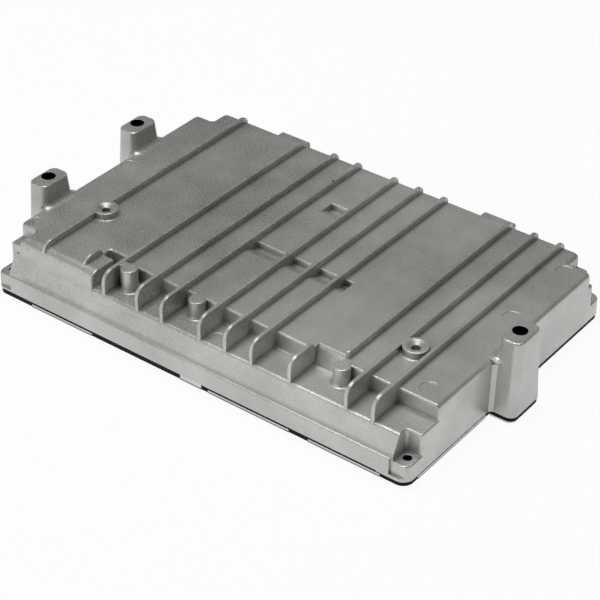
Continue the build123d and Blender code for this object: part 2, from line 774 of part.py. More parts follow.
# Connector header: one moulding with a flange, two shrouded bays and a block that holds the pins
pin_offsets_x = [(column - (pin_columns - 1) / 2) * pin_pitch_x for column in range(pin_columns)]
pin_offsets_z = [(row - (pin_rows - 1) / 2) * pin_pitch_z for row in range(pin_rows)]
with BuildPart() as connector_header:
    with BuildSketch(Plane.XZ.offset(-header_flange_y)):
        with Locations((header_x, header_z)):
            RectangleRounded(header_flange_length, header_flange_height, header_corner_radius)
    extrude(amount=-header_flange_thickness)
    with BuildSketch(Plane.XZ.offset(-header_flange_y)):
        with Locations((header_x, header_z)):
            RectangleRounded(header_body_length, header_shroud_height, header_corner_radius)
    extrude(amount=-(header_flange_thickness + header_reach))
    with BuildSketch(Plane.XZ.offset(-header_flange_y)):
        with Locations((header_x, header_z)):
            tail_length = header_body_length - 2 * header_clearance
            tail_height = shroud_inner_height - 2 * header_clearance
            RectangleRounded(tail_length, tail_height, header_corner_radius)
    extrude(amount=header_seal_thickness + wall_thickness + header_tail)
    with BuildSketch(Plane.XZ.offset(-bay_floor_y)):
        with Locations(*[(x, header_z) for x in bay_centres]):
            RectangleRounded(bay_length, shroud_inner_height, header_corner_radius - header_wall / 2)
    extrude(amount=-(header_flange_thickness + header_reach), mode=Mode.SUBTRACT)
    with BuildSketch(Plane.XZ.offset(-bay_floor_y)):
        for bay_x in bay_centres:
            with Locations(*[(bay_x + dx, header_z + dz) for dx in pin_offsets_x for dz in pin_offsets_z]):
                Rectangle(pin_size, pin_size)
    extrude(amount=header_floor + header_seal_thickness + wall_thickness + header_tail, mode=Mode.SUBTRACT)
    with BuildSketch(Plane.XZ.offset(-header_flange_y)):
        with Locations(*header_screws):
            Circle(header_screw_radius + header_clearance)
    extrude(amount=-header_flange_thickness, mode=Mode.SUBTRACT)

connector_header.part.label = "connector_header"
export_step(connector_header.part, "parts/connector_header.step")

with BuildPart() as connector_gasket:
    with BuildSketch(Plane.XZ.offset(-header_seal_y)):
        with Locations((header_x, header_z)):
            RectangleRounded(header_flange_length, header_flange_height, header_corner_radius)
            RectangleRounded(
                header_body_length, shroud_inner_height, header_corner_radius, mode=Mode.SUBTRACT
            )
        with Locations(*header_screws):
            Circle(header_screw_radius + header_clearance, mode=Mode.SUBTRACT)
    extrude(amount=-header_seal_thickness)

connector_gasket.part.label = "connector_gasket"
export_step(connector_gasket.part, "parts/connector_gasket.step")

with BuildPart() as connector_screws:
    with BuildSketch(Plane.XZ.offset(-(header_flange_y + header_flange_thickness))):
        with Locations(*header_screws):
            Circle(header_screw_head_radius)
    extrude(amount=-header_screw_head_height)
    with BuildSketch(Plane.XZ.offset(-(header_flange_y + header_flange_thickness))):
        with Locations(*header_screws):
            Circle(header_screw_radius)
    extrude(amount=header_flange_thickness + header_seal_thickness + header_screw_length - screw_clearance)

connector_screws.part.label = "connector_screws"
export_step(connector_screws.part, "parts/connector_screws.step")

# Pins: each runs from its bay through the header, then turns up through the board
pin_tip_y = bay_floor_y + pin_reach
pin_leg_y = back_y - wall_thickness - header_tail - 2 * pin_pitch_y
for name, bay_x in zip(("engine_connector_pins", "vehicle_connector_pins"), bay_centres):
    with BuildPart() as pins:
        for row, dz in enumerate(pin_offsets_z):
            leg_y = pin_leg_y - (pin_rows - 1 - row) * pin_pitch_y
            pin_z = header_z + dz
            with BuildSketch(Plane.YZ.offset(bay_x + pin_offsets_x[0])):
                with BuildLine():
                    Polyline(
                        (pin_tip_y, pin_z - pin_size / 2),
                        (pin_tip_y, pin_z + pin_size / 2),
                        (leg_y + pin_size / 2, pin_z + pin_size / 2),
                        (leg_y + pin_size / 2, board_top_z + pin_through),
                        (leg_y - pin_size / 2, board_top_z + pin_through),
                        (leg_y - pin_size / 2, pin_z - pin_size / 2),
                        close=True,
                    )
                make_face()
            extrude(amount=pin_size / 2, both=True)
    first_column = pins.part
    with BuildPart() as pin_block:
        with Locations(*[(column * pin_pitch_x, 0, 0) for column in range(pin_columns)]):
            add(first_column)
    pin_block.part.label = name
    export_step(pin_block.part, f"parts/{name}.step")

# Circuit board, cut back round the corner pillars
with BuildPart() as circuit_board:
    with BuildSketch(Plane.XY.offset(board_z)):
        Rectangle(board_length, 2 * (pillar_y - board_gap))
        Rectangle(2 * (pillar_x - board_gap), board_width)
        with Locations(*board_posts):
            Circle(board_screw_radius + header_clearance, mode=Mode.SUBTRACT)
        for bay_x in bay_centres:
            for row in range(pin_rows):
                with Locations(*[(bay_x + dx, pin_leg_y - row * pin_pitch_y) for dx in pin_offsets_x]):
                    Rectangle(pin_size, pin_size, mode=Mode.SUBTRACT)
    extrude(amount=board_thickness)

circuit_board.part.label = "circuit_board"
export_step(circuit_board.part, "parts/circuit_board.step")

with BuildPart() as board_screws:
    with BuildSketch(Plane.XY.offset(board_z)):
        with Locations(*board_posts):
            Circle(board_screw_head_radius)
    extrude(amount=-board_screw_head_height)
    with BuildSketch(Plane.XY.offset(board_z)):
        with Locations(*board_posts):
            Circle(board_screw_radius)
    extrude(amount=board_thickness + board_screw_depth)

board_screws.part.label = "board_screws"
export_step(board_screws.part, "parts/board_screws.step")


# Parts that stand on the board: name, size in X, Y and Z, and their places
back_row_y = board_width / 2 - back_row_inset
controller_place = (controller_x, controller_y)
board_parts = [
    ("microcontroller", 24.0, 24.0, 1.8, [controller_place]),
    ("memory_chip", 10.0, 8.0, 1.2, [(controller_x - 24.0, controller_y + dy) for dy in (4.0, -10.0)]),
    ("crystal_oscillator", 11.0, 4.6, 3.4, [(controller_x, controller_y + 24.0)]),
    ("power_regulator", 12.0, 12.0, 2.2, [(58.0, 28.0)]),
    ("output_transistors", 10.0, 9.2, 2.3, [(70.0 + i * 13.0, -20.0) for i in range(3)]),
    ("current_sense_resistors", 6.4, 3.2, 0.9, [(70.0 + i * 13.0, -32.0) for i in range(3)]),
    ("can_transceivers", 5.0, 4.0, 1.5, [(x, back_row_y) for x in (-70.0, -58.0)]),
    ("sensor_interface_chip", 9.0, 9.0, 1.4, [(-68.0, 14.0)]),
    ("pressure_sensor", 7.0, 7.0, 2.6, [(-84.0, -20.0)]),
    ("suppression_diodes", 7.0, 6.0, 2.4, [(20.0 + i * 10.0, back_row_y) for i in range(3)]),
    ("input_filter_choke", 12.5, 12.5, 6.0, [(84.0, 30.0)]),
]
for name, length, width, height, places in board_parts:
    with BuildPart() as board_part:
        with BuildSketch(Plane.XY.offset(board_top_z)):
            with Locations(*places):
                Rectangle(length, width)
        extrude(amount=height)
        chamfer(board_part.edges().group_by(Axis.Z)[-1], length=chip_chamfer)
    board_part.part.label = name
    export_step(board_part.part, f"parts/{name}.step")

with BuildPart() as injector_driver_chips:
    for x, y, length, width in driver_places:
        with BuildSketch(Plane.XY.offset(board_top_z)):
            with Locations((x, y)):
                Rectangle(length, width)
        extrude(amount=driver_height)

injector_driver_chips.part.label = "injector_driver_chips"
export_step(injector_driver_chips.part, "parts/injector_driver_chips.step")

with BuildPart() as thermal_pads:
    for x, y, length, width in driver_places:
        with BuildSketch(Plane.XY.offset(board_top_z + driver_height)):
            with Locations((x, y)):
                Rectangle(length, width)
        extrude(amount=pad_thickness)

thermal_pads.part.label = "thermal_pads"
export_step(thermal_pads.part, "parts/thermal_pads.step")

# Round parts on the board: cans and wound coils
with BuildPart() as storage_capacitors:
    for x in can_places:
        with BuildSketch(Plane.XY.offset(board_top_z)):
            with Locations((x, can_y)):
                Circle(can_radius)
        extrude(amount=can_height)
    fillet(storage_capacitors.edges().group_by(Axis.Z)[-1], radius=can_radius / 5)

storage_capacitors.part.label = "storage_capacitors"
export_step(storage_capacitors.part, "parts/storage_capacitors.step")

with BuildPart() as boost_coils:
    for x, y in coil_places:
        with BuildSketch(Plane.XY.offset(board_top_z)):
            with Locations((x, y)):
                RectangleRounded(coil_size, coil_size, coil_size / 5)
        extrude(amount=coil_height)
        with BuildSketch(Plane.XY.offset(board_top_z + coil_height)):
            with Locations((x, y)):
                Circle(coil_groove_outer)
                Circle(coil_groove_inner, mode=Mode.SUBTRACT)
        extrude(amount=-coil_height / 3, mode=Mode.SUBTRACT)

boost_coils.part.label = "boost_coils"
export_step(boost_coils.part, "parts/boost_coils.step")

# Small chip capacitors in rows round the microcontroller
with BuildPart() as chip_capacitors:
    with BuildSketch(Plane.XY.offset(board_top_z)):
        with Locations(controller_place):
            with GridLocations(chip_pitch_x, chip_spread_y, chip_columns, 2):
                Rectangle(chip_length, chip_width)
    extrude(amount=chip_width)

chip_capacitors.part.label = "chip_capacitors"
export_step(chip_capacitors.part, "parts/chip_capacitors.step")
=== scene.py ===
import bpy
import json
from math import cos, radians, sin
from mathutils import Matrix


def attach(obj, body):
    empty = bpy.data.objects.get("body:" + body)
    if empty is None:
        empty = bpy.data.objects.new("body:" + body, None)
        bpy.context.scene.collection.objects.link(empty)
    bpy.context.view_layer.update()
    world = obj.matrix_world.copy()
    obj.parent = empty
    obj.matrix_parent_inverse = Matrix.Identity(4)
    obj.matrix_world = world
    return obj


# Engine control unit, seen from its stepped front and its right side.
# Metres, in the same frame as the CAD.
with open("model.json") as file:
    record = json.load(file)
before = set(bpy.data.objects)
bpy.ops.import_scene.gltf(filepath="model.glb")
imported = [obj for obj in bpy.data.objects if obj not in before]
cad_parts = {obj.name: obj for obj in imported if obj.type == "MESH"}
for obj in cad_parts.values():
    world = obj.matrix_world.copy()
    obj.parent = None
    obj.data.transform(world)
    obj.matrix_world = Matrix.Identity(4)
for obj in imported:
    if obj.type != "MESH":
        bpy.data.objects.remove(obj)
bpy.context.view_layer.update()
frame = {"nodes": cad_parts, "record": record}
nodes = frame["nodes"]
bpy.ops.object.select_all(action="DESELECT")
print("stage: frame loaded,", len(nodes), "nodes")


def inRadians(angles):
    return [radians(angle) for angle in angles]


# camera, at the photograph's angle and distance; its turn is in degrees, its lens and sensor in mm
cameraSettings = {
    "place": (0.43222, -0.57358, 0.50903), "turn": (54.800, -0.535, 37.257),
    "lens": 116.81, "sensor": 36.0, "clip": (0.01, 20.0),
}
bpy.ops.object.camera_add(
    location=cameraSettings["place"], rotation=inRadians(cameraSettings["turn"]))
camera = bpy.context.object
camera.name = "photoCamera"
camera.data.lens = cameraSettings["lens"]
camera.data.sensor_width = cameraSettings["sensor"]
camera.data.clip_start, camera.data.clip_end = cameraSettings["clip"]
bpy.context.scene.camera = camera
bpy.context.scene.view_settings.view_transform = "Standard"

# soft studio lamps: a wide panel low in front and one above
lampSettings = {
    "frontPanel": {
        "place": (-0.95, -1.6, 0.75), "turn": (68, 0, -31), "size": (2.2, 1.4), "power": 8.8},
    "topSoftbox": {
        "place": (-0.15, 0.0, 1.6), "turn": (0, -5, 0), "size": (0.9, 0.9), "power": 18.0},
}
for lampName, lamp in lampSettings.items():
    bpy.ops.object.light_add(
        type="AREA", location=lamp["place"], rotation=inRadians(lamp["turn"]))
    lampObject = bpy.context.object
    lampObject.name = lampName
    lampObject.data.shape = "RECTANGLE"
    lampObject.data.size, lampObject.data.size_y = lamp["size"]
    lampObject.data.energy = lamp["power"]
print("stage: camera and lamps placed")


# node tools
def feed(tree, socket, value):
    # sets a number, a vector or a colour on the socket, or links an output to it
    if isinstance(value, (int, float)):
        socket.default_value = value
    elif isinstance(value, tuple):
        socket.default_value = (*value, 1.0) if socket.type == "RGBA" else value
    else:
        tree.links.new(value, socket)


def startMaterial(materialName):
    material = bpy.data.materials.new(materialName)
    material.use_nodes = True
    tree = material.node_tree
    tree.nodes.clear()
    shader = tree.nodes.new("ShaderNodeBsdfPrincipled")
    output = tree.nodes.new("ShaderNodeOutputMaterial")
    tree.links.new(shader.outputs["BSDF"], output.inputs["Surface"])
    return material, tree, shader, output


def startGroup(groupName, inputs, outputs):
    # each input is a name, a socket type and a starting value
    tree = bpy.data.node_groups.new(groupName, "ShaderNodeTree")
    for label, kind, value in inputs:
        socket = tree.interface.new_socket(label, in_out="INPUT", socket_type=kind)
        if value is not None:
            socket.default_value = value
    for label, kind in outputs:
        tree.interface.new_socket(label, in_out="OUTPUT", socket_type=kind)
    return tree, tree.nodes.new("NodeGroupInput").outputs, tree.nodes.new("NodeGroupOutput").inputs


def useGroup(tree, group, inputs):
    node = tree.nodes.new("ShaderNodeGroup")
    node.node_tree = group
    for label, value in inputs.items():
        feed(tree, node.inputs[label], value)
    return node.outputs


def addNoise(tree, vector, scale, detail, roughness):
    noise = tree.nodes.new("ShaderNodeTexNoise")
    settings = {"Vector": vector, "Scale": scale, "Detail": detail, "Roughness": roughness}
    for label, value in settings.items():
        feed(tree, noise.inputs[label], value)
    return noise.outputs["Fac"]


def addMath(tree, operation, first, second=0.0):
    node = tree.nodes.new("ShaderNodeMath")
    node.operation = operation
    feed(tree, node.inputs[0], first)
    feed(tree, node.inputs[1], second)
    return node.outputs[0]


def addVectorMath(tree, operation, first, second):
    node = tree.nodes.new("ShaderNodeVectorMath")
    node.operation = operation
    feed(tree, node.inputs[0], first)
    feed(tree, node.inputs[1], second)
    return node.outputs


def addRange(tree, value, fromRange, toRange):
    node = tree.nodes.new("ShaderNodeMapRange")
    feed(tree, node.inputs["Value"], value)
    labels = ("From Min", "From Max", "To Min", "To Max")
    for label, limit in zip(labels, (*fromRange, *toRange)):
        feed(tree, node.inputs[label], limit)
    return node.outputs["Result"]


def addMix(tree, factor, first, second):
    node = tree.nodes.new("ShaderNodeMix")
    node.data_type = "RGBA"
    feed(tree, node.inputs["Factor"], factor)
    feed(tree, node.inputs["A"], first)
    feed(tree, node.inputs["B"], second)
    return node.outputs["Result"]


def splitVector(tree, vector):
    parts = tree.nodes.new("ShaderNodeSeparateXYZ")
    tree.links.new(vector, parts.inputs["Vector"])
    return parts.outputs


def objectCoordinates(tree):
    return tree.nodes.new("ShaderNodeTexCoord").outputs["Object"]


def surfaceNormal(tree):
    return tree.nodes.new("ShaderNodeNewGeometry").outputs["Normal"]


# how many rays look for the rounded edges and for the shaded corners
nodeSamples = {"softEdge": 6, "corner": 8}


def roundedNormal(tree, radius):
    softEdge = tree.nodes.new("ShaderNodeBevel")
    softEdge.samples = nodeSamples["softEdge"]
    softEdge.inputs["Radius"].default_value = radius
    return softEdge.outputs["Normal"]


# shared effects: fine grain with small pits, over slow patches
grainSettings = {
    "fineDetail": 3.0, "patchDetail": 5.0, "roughness": 0.6, "pitScale": 0.5,
    "pitRange": (0.08, 0.3), "patchRange": (0.32, 0.68), "speckRange": (0.35, 0.65),
}


def buildGrainGroup():
    # Height is for a bump, Patches and Specks are for colour and roughness
    inputs = [("Vector", "NodeSocketVector", None), ("Grain Scale", "NodeSocketFloat", 1800.0),
              ("Patch Scale", "NodeSocketFloat", 60.0), ("Pit Depth", "NodeSocketFloat", 0.5)]
    outputs = [("Height", "NodeSocketFloat"), ("Patches", "NodeSocketFloat"),
               ("Specks", "NodeSocketFloat")]
    tree, start, end = startGroup("surfaceGrain", inputs, outputs)
    roughness = grainSettings["roughness"]
    fine = addNoise(
        tree, start["Vector"], start["Grain Scale"], grainSettings["fineDetail"], roughness)
    slow = addNoise(
        tree, start["Vector"], start["Patch Scale"], grainSettings["patchDetail"], roughness)
    cells = tree.nodes.new("ShaderNodeTexVoronoi")
    pitScale = addMath(tree, "MULTIPLY", start["Grain Scale"], grainSettings["pitScale"])
    feed(tree, cells.inputs["Vector"], start["Vector"])
    feed(tree, cells.inputs["Scale"], pitScale)
    pits = addRange(tree, cells.outputs["Distance"], grainSettings["pitRange"], (0.0, 1.0))
    pitHeight = addMath(tree, "MULTIPLY", pits, start["Pit Depth"])
    feed(tree, end["Height"], addMath(tree, "ADD", fine, pitHeight))
    feed(tree, end["Patches"], addRange(tree, slow, grainSettings["patchRange"], (0.0, 1.0)))
    feed(tree, end["Specks"], addRange(tree, fine, grainSettings["speckRange"], (0.0, 1.0)))
    return tree


# soft patches of dust that grey a colour
dustSettings = {
    "color": (0.3, 0.29, 0.27), "scale": 35.0, "detail": 6.0, "roughness": 0.65,
    "cloudRange": (0.45, 0.75),
}


def buildDustGroup():
    inputs = [("Color", "NodeSocketColor", (0.5, 0.5, 0.5, 1.0)),
              ("Vector", "NodeSocketVector", None), ("Amount", "NodeSocketFloat", 0.2)]
    tree, start, end = startGroup("settledDust", inputs, [("Color", "NodeSocketColor")])
    cloud = addNoise(
        tree, start["Vector"], dustSettings["scale"], dustSettings["detail"],
        dustSettings["roughness"])
    dusty = addRange(tree, cloud, dustSettings["cloudRange"], (0.0, 1.0))
    factor = addMath(tree, "MULTIPLY", dusty, start["Amount"])
    feed(tree, end["Color"], addMix(tree, factor, start["Color"], dustSettings["color"]))
    return tree


# painted shade: soft dark level lines on the upright faces; fade is how softly a line begins along
# the length
shadeLineSettings = {"fade": 0.004, "uprightLimit": 0.7}


def buildShadeLineGroup():
    # a line lies at Height, where Y is below Before and X is between From and Until
    inputs = [("Color", "NodeSocketColor", (0.5, 0.5, 0.5, 1.0)),
              ("Vector", "NodeSocketVector", None),
              ("Shade Color", "NodeSocketColor", (0.0, 0.0, 0.0, 1.0)),
              ("Amount", "NodeSocketFloat", 0.5), ("Height", "NodeSocketFloat", 0.0),
              ("Spread", "NodeSocketFloat", 0.001), ("Before", "NodeSocketFloat", 0.0),
              ("From", "NodeSocketFloat", 0.0), ("Until", "NodeSocketFloat", 0.0)]
    tree, start, end = startGroup("levelShade", inputs, [("Color", "NodeSocketColor")])
    place = splitVector(tree, start["Vector"])
    lean = addMath(tree, "ABSOLUTE", splitVector(tree, surfaceNormal(tree))["Z"])
    upright = addMath(tree, "LESS_THAN", lean, shadeLineSettings["uprightLimit"])
    away = addMath(tree, "ABSOLUTE", addMath(tree, "SUBTRACT", place["Z"], start["Height"]))
    line = addRange(tree, away, (0.0, start["Spread"]), (start["Amount"], 0.0))
    inFront = addMath(tree, "LESS_THAN", place["Y"], start["Before"])
    fadeEnd = addMath(tree, "ADD", start["From"], shadeLineSettings["fade"])
    begun = addRange(tree, place["X"], (start["From"], fadeEnd), (0.0, 1.0))
    notEnded = addMath(tree, "LESS_THAN", place["X"], start["Until"])
    for limit in (inFront, begun, notEnded, upright):
        line = addMath(tree, "MULTIPLY", line, limit)
    feed(tree, end["Color"], addMix(tree, line, start["Color"], start["Shade Color"]))
    return tree


grainGroup = buildGrainGroup()
dustGroup = buildDustGroup()
shadeLineGroup = buildShadeLineGroup()

# where the cast specks show: in full on the top, and as painted shade on the inner sides that
# face right, by the finish's own share on the outer walls, and less on pale patches and towards
# the right
speckSettings = {
    "topRange": (0.3, 0.9), "sideRange": (0.5, 0.9), "innerLimit": 0.108,
    "patchRange": (0.1, 0.9), "patchShare": (1.0, 0.5),
    "lengthRange": (-0.05, 0.03), "lengthShare": (1.0, 0.72),
}


def thinSpecks(tree, vector, patches, specks, wallShare):
    facing = splitVector(tree, surfaceNormal(tree))
    place = splitVector(tree, vector)
    share = addRange(tree, facing["Z"], speckSettings["topRange"], (wallShare, 1.0))
    inside = addMath(tree, "LESS_THAN", place["X"], speckSettings["innerLimit"])
    # painted shade: dark specks in full on the inner sides that face right
    rightSideShade = addRange(tree, facing["X"], speckSettings["sideRange"], (0.0, 1.0))
    share = addMath(tree, "MAXIMUM", share, addMath(tree, "MULTIPLY", rightSideShade, inside))
    onPatches = addRange(tree, patches, speckSettings["patchRange"], speckSettings["patchShare"])
    alongX = addRange(
        tree, place["X"], speckSettings["lengthRange"], speckSettings["lengthShare"])
    for factor in (share, onPatches, alongX):
        specks = addMath(tree, "MULTIPLY", specks, factor)
    return specks


def paintEdgeHighlight(tree, color, edgeHighlight):
    # painted highlight: the convex edges are painted bright, found where a rounded normal leaves
    # the true one
    alike = addVectorMath(
        tree, "DOT_PRODUCT", roundedNormal(tree, edgeHighlight["radius"]), surfaceNormal(tree))
    highlighted = addRange(tree, alike["Value"], edgeHighlight["turned"], (0.0, edgeHighlight["amount"]))
    return addMix(tree, highlighted, color, edgeHighlight["color"])


def paintCornerShade(tree, color, cornerShade):
    # painted shade: darker where little of the surroundings is open, within its reach
    corners = tree.nodes.new("ShaderNodeAmbientOcclusion")
    corners.samples = nodeSamples["corner"]
    corners.inputs["Distance"].default_value = cornerShade["reach"]
    hidden = addRange(tree, corners.outputs["AO"], cornerShade["open"], (cornerShade["amount"], 0.0))
    return addMix(tree, hidden, color, cornerShade["color"])


def paintBoreShade(tree, vector, color, bore, boreShadeColor):
    # painted shade: near black in an upright bore, by the distance from its line
    x, y, radius = bore
    level = addVectorMath(tree, "MULTIPLY", vector, (1.0, 1.0, 0.0))["Vector"]
    distance = addVectorMath(tree, "DISTANCE", level, (x, y, 0.0))["Value"]
    return addMix(tree, addMath(tree, "LESS_THAN", distance, radius), color, boreShadeColor)


def finishMaterial(settings):
    # one recipe for all finishes: two colours, specks, dust, a range of roughness and a bump,
    # and the painted highlight on edges, painted shade lines, painted corner shade and painted
    # bore shade that the finish names
    material, tree, shader, output = startMaterial(settings["name"])
    vector = objectCoordinates(tree)
    grain = useGroup(tree, grainGroup, {
        "Vector": vector, "Grain Scale": settings["grainScale"],
        "Patch Scale": settings["patchScale"], "Pit Depth": settings["pitDepth"]})
    color = addMix(tree, grain["Patches"], settings["darkColor"], settings["lightColor"])
    specks = addMath(tree, "MULTIPLY", grain["Specks"], settings["speckAmount"])
    if "wallSpecks" in settings:
        specks = thinSpecks(tree, vector, grain["Patches"], specks, settings["wallSpecks"])
    color = addMix(tree, specks, color, settings["speckColor"])
    color = useGroup(tree, dustGroup, {
        "Vector": vector, "Color": color, "Amount": settings["dust"]})["Color"]
    # painted highlight along the edges
    if "edgeHighlight" in settings:
        color = paintEdgeHighlight(tree, color, settings["edgeHighlight"])
    # painted shade: the dark level lines that the finish names
    for shadeLine in settings.get("shadeLines", ()):
        color = useGroup(tree, shadeLineGroup, {"Vector": vector, "Color": color, **shadeLine})["Color"]
    # painted shade in the corners
    for cornerShade in settings.get("cornerShade", ()):
        color = paintCornerShade(tree, color, cornerShade)
    # painted shade inside the bores
    for bore in settings.get("bores", ()):
        color = paintBoreShade(tree, vector, color, bore, settings["boreShadeColor"])
    tree.links.new(color, shader.inputs["Base Color"])
    roughness = addRange(tree, grain["Specks"], (0.0, 1.0), settings["roughness"])
    tree.links.new(roughness, shader.inputs["Roughness"])
    shader.inputs["Metallic"].default_value = settings["metallic"]
    shader.inputs["Specular IOR Level"].default_value = settings.get("specular", plainSpecular)
    bump = tree.nodes.new("ShaderNodeBump")
    bump.inputs["Strength"].default_value = settings["bump"]
    bump.inputs["Distance"].default_value = settings["bumpDepth"]
    tree.links.new(grain["Height"], bump.inputs["Height"])
    if "edgeRadius" in settings:
        tree.links.new(roundedNormal(tree, settings["edgeRadius"]), bump.inputs["Normal"])
    tree.links.new(bump.outputs["Normal"], shader.inputs["Normal"])
    return material


# the specular level of a finish that names none, and a painted shade line's limits where it
# has none: they lie outside the part
plainSpecular = 0.5
noLimits = {"Before": 0.2, "From": -0.2, "Until": 0.2}

